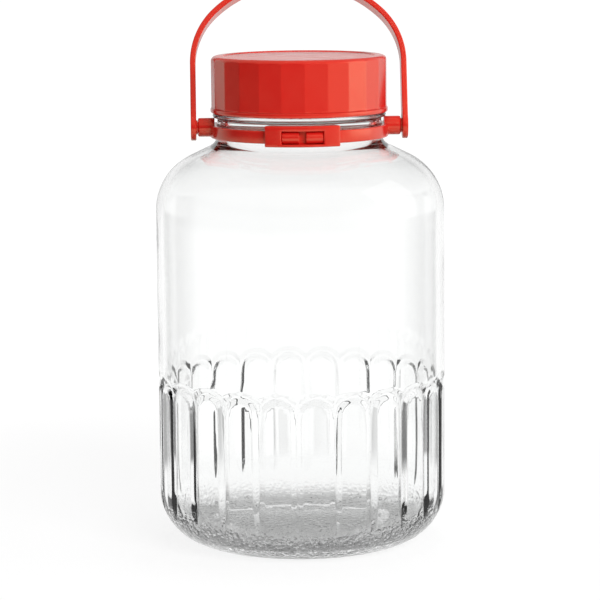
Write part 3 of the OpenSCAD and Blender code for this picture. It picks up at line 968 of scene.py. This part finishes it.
class JAR_OT_handle(Operator):
    """Makes the bail handle: strap arch, round eyes and snap-in studs"""
    bl_idname = "jar.make_handle"
    bl_label = "Bail handle"

    def execute(self, context):
        size = context.scene.jar_handle
        collar = context.scene.jar_collar
        points = strap_path(size)
        mesh = bpy.data.meshes.new("strap")
        mesh.from_pydata([(x, y, 0) for x, y in points], [(i, i + 1) for i in range(len(points) - 1)], [])
        sizes = tree_sizes(size, "width", "thickness", "edge", "channel_depth", "channel_rim",
                           "channel_start", "lean")
        sizes.update(tree_sizes(collar, "pivot_z"))
        bm = bmesh.new()
        take(bm, tree_piece(mesh, strap_tree(sizes, finish("glossy_red")), sizes))
        face = size.span - size.thickness
        eye = [(0, face)]
        eye += bend((size.eye, face), size.edge, -90, 0, 4)
        eye += bend((size.eye, size.span), size.edge, 0, 90, 4)
        eye += [(0, size.span)]
        # A snap ring stands on the stud, and a wider shoulder bears on the ear
        thin, end, tip = size.stud, size.stud_end, 0.0005
        ring_low = collar.ear_reach - 0.0049
        ring_out, ring_slope, ring_high = thin + 0.0004, 0.0003, ring_low + 0.001
        bearing, collar_out, sunk = collar.ear_reach + 0.00015, thin + 0.0011, face + 0.0002
        stud = [(0, end), (thin - tip, end), (thin, end + tip), (thin, ring_low),
                (ring_out, ring_low + ring_slope), (ring_out, ring_high - ring_slope), (thin, ring_high),
                (thin, bearing), (collar_out, bearing), (collar_out, sunk), (0, sunk)]
        stand = Matrix.Translation((0, 0, collar.pivot_z)) @ Matrix.Rotation(-size.lean, 4, "X")
        for turn in (0, math.pi):
            shell(bm, turned(eye, even_angles(72)), place=stand @ sideways(turn))
            shell(bm, turned(stud, even_angles(48)), place=stand @ sideways(turn))
        piece = finished("handle", bm, finish("glossy_red"), sharp=38)
        hand_over(piece, "handle", "red_plastic", "bail_handle")
        return {"FINISHED"}


# Stage

def tones_round(g, turn, half, stops):
    """Tone by the turn from straight behind, from stops in degrees up to half a field either way"""
    share = g.math("ADD", g.math("DIVIDE", turn, math.radians(2 * half)), 0.5)
    return g.ramp(share, [((a + half) / (2 * half), tone) for a, tone in stops])


def studio_tone(g, vector):
    """Tones of the surroundings in a direction, as glass lets them through and as gloss mirrors them"""
    x, y, z = g.split(vector)
    m = g.math
    turn = m("ARCTAN2", x, y)
    behind = m("SUBTRACT", turn, math.radians(2))
    # Through the panels: white straight behind with a faint grey strip in the middle, cards of grey and dark
    # to the sides
    panels = tones_round(g, behind, 90, [
        (-90, 1.0), (-78, 0.9), (-70, 0.25), (-51, 0.2), (-47, 0.4), (-43, 0.4), (-40, 0.2), (-30, 0.2),
        (-26, 0.6), (-23, 1.06), (-5, 1.06), (-2, 1.0), (2, 1.0), (5, 1.06), (20, 1.06), (21.5, 0.6),
        (23, 0.7), (25.5, 0.95), (35, 0.95), (38.5, 0.3), (43, 0.4), (47, 0.4), (51, 0.2), (60, 0.2),
        (70, 0.3), (78, 0.9), (90, 1.0)])
    # A faint grey strip straight behind, about a tenth darker than the white around it
    aside = m("ABSOLUTE", m("ADD", behind, math.radians(0.2)))
    panels = m("MULTIPLY", panels, g.ease(aside, math.radians(0.4), math.radians(1.3), 0.89, 1.0))
    lower = g.mix(g.ease(z, -0.26, -0.23), 1.0, panels)
    # Through the plain wall above them: white, with dark cards at the edges
    wall = tones_round(g, behind, 90, [
        (-90, 1.0), (-78, 0.9), (-70, 0.3), (-42, 0.25), (-36, 1.04), (36, 1.04), (42, 0.25), (70, 0.3),
        (78, 0.9), (90, 1.0)])
    upper = g.mix(g.ease(z, -0.04, -0.08), 1.0, wall)
    banded = g.mix(g.ease(z, -0.178, -0.19), upper, lower)
    seen_through = m("MULTIPLY", banded, g.ease(z, 0.1, 0.4, 1.0, 0.5))
    # Mirrored: a bright window on the right, a darker room on the left and in front
    room = tones_round(g, turn, 180, [
        (-180, 0.03), (-120, 0.02), (-82, 0.05), (-60, 0.8), (30, 0.8), (70, 1.2), (110, 1.2), (150, 0.25),
        (180, 0.03)])
    return seen_through, g.mix(g.ease(z, 0.25, 0.6), room, 0.45)


def shown_rays(g, path):
    """One for rays that show the surroundings, nought for those that only light the pieces"""
    return g.math("MAXIMUM", path.outputs["Is Camera Ray"],
                  g.math("MAXIMUM", path.outputs["Is Glossy Ray"], path.outputs["Is Transmission Ray"]))


def floor_material():
    """Pale floor that keeps the jar's shadow, with a painted shadow under the jar, grey towards the middle,
    that only the glass shows
    """
    material, g, place = new_material("studio_floor")
    path = g.add("ShaderNodeLightPath")
    x, y, _ = g.split(place)
    away = g.hypot(x, y)
    plain = g.add("ShaderNodeBsdfDiffuse", {"Color": (0.8, 0.8, 0.8, 1.0)})
    mirrored = studio_tone(g, place)[1]
    glow = g.add("ShaderNodeEmission", {"Strength": g.mix(g.ease(away, 1.5, 2.2), 1.0, mirrored)})
    # Painted shadow: a grey disc under the jar, darkest in the middle, that only rays through the glass see
    painted_shadow = g.add("ShaderNodeEmission", {"Strength": g.ease(away, 0.06, 0.13, 0.36, 1.0)})
    below = g.mix_shaders(g.ease(away, 0.2, 0.3), painted_shadow, g.add("ShaderNodeBsdfTransparent"))
    passed = g.mix_shaders(path.outputs["Is Transmission Ray"], glow, below)
    faint = g.add("ShaderNodeBsdfDiffuse", {"Color": (0.2, 0.2, 0.2, 1.0)})
    base = g.add("ShaderNodeEmission", {"Strength": g.ease(away, 0.2, 0.9, 0.86, 1.0)})
    seen = g.first("ShaderNodeAddShader", faint, base)
    special = g.mix_shaders(path.outputs["Is Camera Ray"], passed, seen)
    g.add("ShaderNodeOutputMaterial", {"Surface": g.mix_shaders(shown_rays(g, path), plain, special)})
    return material


class JAR_OT_stage(Operator):
    """Makes the floor, the lamps, the surroundings and the camera"""
    bl_idname = "jar.make_stage"
    bl_label = "Stage"

    def execute(self, context):
        scene = context.scene
        size = scene.jar_stage
        bm = bmesh.new()
        verts, faces = turned([(0, 0), (0.3, 0), (1, 0), (3, 0), (12, 0)], even_angles(96))
        made = [bm.verts.new(v) for v in verts]
        for face in faces:
            bm.faces.new([made[i] for i in face])
        bmesh.ops.recalc_face_normals(bm, faces=bm.faces)
        if bm.faces[:][0].normal.z < 0:
            bmesh.ops.reverse_faces(bm, faces=bm.faces)
        floor = finished("studio_floor", bm, floor_material(), sharp=0)
        self.surround(scene, size.ambient)
        self.lamp("key_lamp", size.key, (1.35, -0.15, 0.75), aim=(0, 0, 0.22), shape=(1.0, 1.4), glossy=True)
        self.lamp("front_lamp", size.fill, (1.0, -2.15, 1.4), aim=(0, 0, 0.2), shape=(1.6, 1.2))
        self.lamp("top_lamp", size.top, (0.1, 0.2, 1.9), aim=(0, 0, 0.3), shape=(0.7, 0.5))
        self.camera(scene, size)
        scene.view_settings.view_transform = "Standard"
        return {"FINISHED"}

    def surround(self, scene, ambient):
        """Plain light from all round, and the studio's tones for rays that show them"""
        world = bpy.data.worlds.new("studio")
        world.use_nodes = True
        scene.world = world
        g = Graph(world.node_tree)
        path = g.add("ShaderNodeLightPath")
        through, mirrored = studio_tone(g, g.add("ShaderNodeTexCoord").outputs["Generated"])
        tone = g.mix(path.outputs["Is Transmission Ray"], mirrored, through)
        tone = g.mix(path.outputs["Is Camera Ray"], tone, 1.0)
        dim, seen = (g.add("ShaderNodeBackground", {"Color": (1.0, 1.0, 1.0, 1.0), "Strength": strength})
                     for strength in (ambient, tone))
        g.add("ShaderNodeOutputWorld", {"Surface": g.mix_shaders(shown_rays(g, path), dim, seen)})

    def lamp(self, name, power, place, aim, shape, glossy=False):
        data = bpy.data.lights.new(name, "AREA")
        data.energy = power
        data.shape = "RECTANGLE"
        data.size, data.size_y = shape
        lamp = bpy.data.objects.new(name, data)
        bpy.context.scene.collection.objects.link(lamp)
        lamp.location = place
        lamp.rotation_euler = (Vector(aim) - Vector(place)).to_track_quat("-Z", "Y").to_euler()
        lamp.visible_glossy = glossy
        lamp.visible_transmission = False

    def camera(self, scene, size):
        data = bpy.data.cameras.new("camera")
        data.lens = size.lens
        data.sensor_width = 36.0
        data.clip_start = 0.05
        data.clip_end = 50.0
        data.dof.use_dof = False
        data.shift_x = size.shift / picture_width
        camera = bpy.data.objects.new("camera", data)
        scene.collection.objects.link(camera)
        a, p, roll = size.azimuth, size.pitch, size.roll
        right = Vector((math.cos(a), math.sin(a), 0))
        ahead = Vector((-math.sin(a) * math.cos(p), math.cos(a) * math.cos(p), -math.sin(p)))
        up = right.cross(ahead)
        turned_right = right * math.cos(roll) - up * math.sin(roll)
        turned_up = right * math.sin(roll) + up * math.cos(roll)
        place = Vector((math.sin(a) * size.distance, -math.cos(a) * size.distance, size.height))
        camera.matrix_world = Matrix((
            (turned_right.x, turned_up.x, -ahead.x, place.x),
            (turned_right.y, turned_up.y, -ahead.y, place.y),
            (turned_right.z, turned_up.z, -ahead.z, place.z),
            (0, 0, 0, 1)))
        scene.camera = camera


# Panel

class JAR_PT_panel(Panel):
    """Lists the jar's pieces"""
    bl_idname = "JAR_PT_panel"
    bl_label = "Glass storage jar"
    bl_space_type = "VIEW_3D"
    bl_region_type = "UI"
    bl_category = "Jar"

    def draw(self, context):
        for operator in operators:
            self.layout.operator(operator.bl_idname)
        for name, kind in groups.items():
            box = self.layout.box()
            box.label(text=kind.__doc__)
            for key in kind.__annotations__:
                box.prop(getattr(context.scene, name), key)


groups = {
    "jar_glass": JarGlassSettings,
    "jar_cap": CapSettings,
    "jar_collar": CollarSettings,
    "jar_handle": HandleSettings,
    "jar_finish": FinishSettings,
    "jar_stage": StageSettings,
}
operators = (JAR_OT_stage, JAR_OT_glass, JAR_OT_inner_lid, JAR_OT_screw_cap, JAR_OT_collar, JAR_OT_clasp,
             JAR_OT_handle)
classes = (*groups.values(), *operators, JAR_PT_panel)


def register():
    for kind in classes:
        bpy.utils.register_class(kind)
    for name, kind in groups.items():
        setattr(bpy.types.Scene, name, PointerProperty(type=kind))


def unregister():
    for name in groups:
        delattr(bpy.types.Scene, name)
    for kind in reversed(classes):
        bpy.utils.unregister_class(kind)


def main():
    register()
    bpy.ops.jar.make_stage()
    bpy.ops.jar.make_glass()
    bpy.ops.jar.make_inner_lid()
    bpy.ops.jar.make_screw_cap()
    bpy.ops.jar.make_collar()
    bpy.ops.jar.make_clasp()
    bpy.ops.jar.make_handle()


if __name__ == "__main__":
    main()
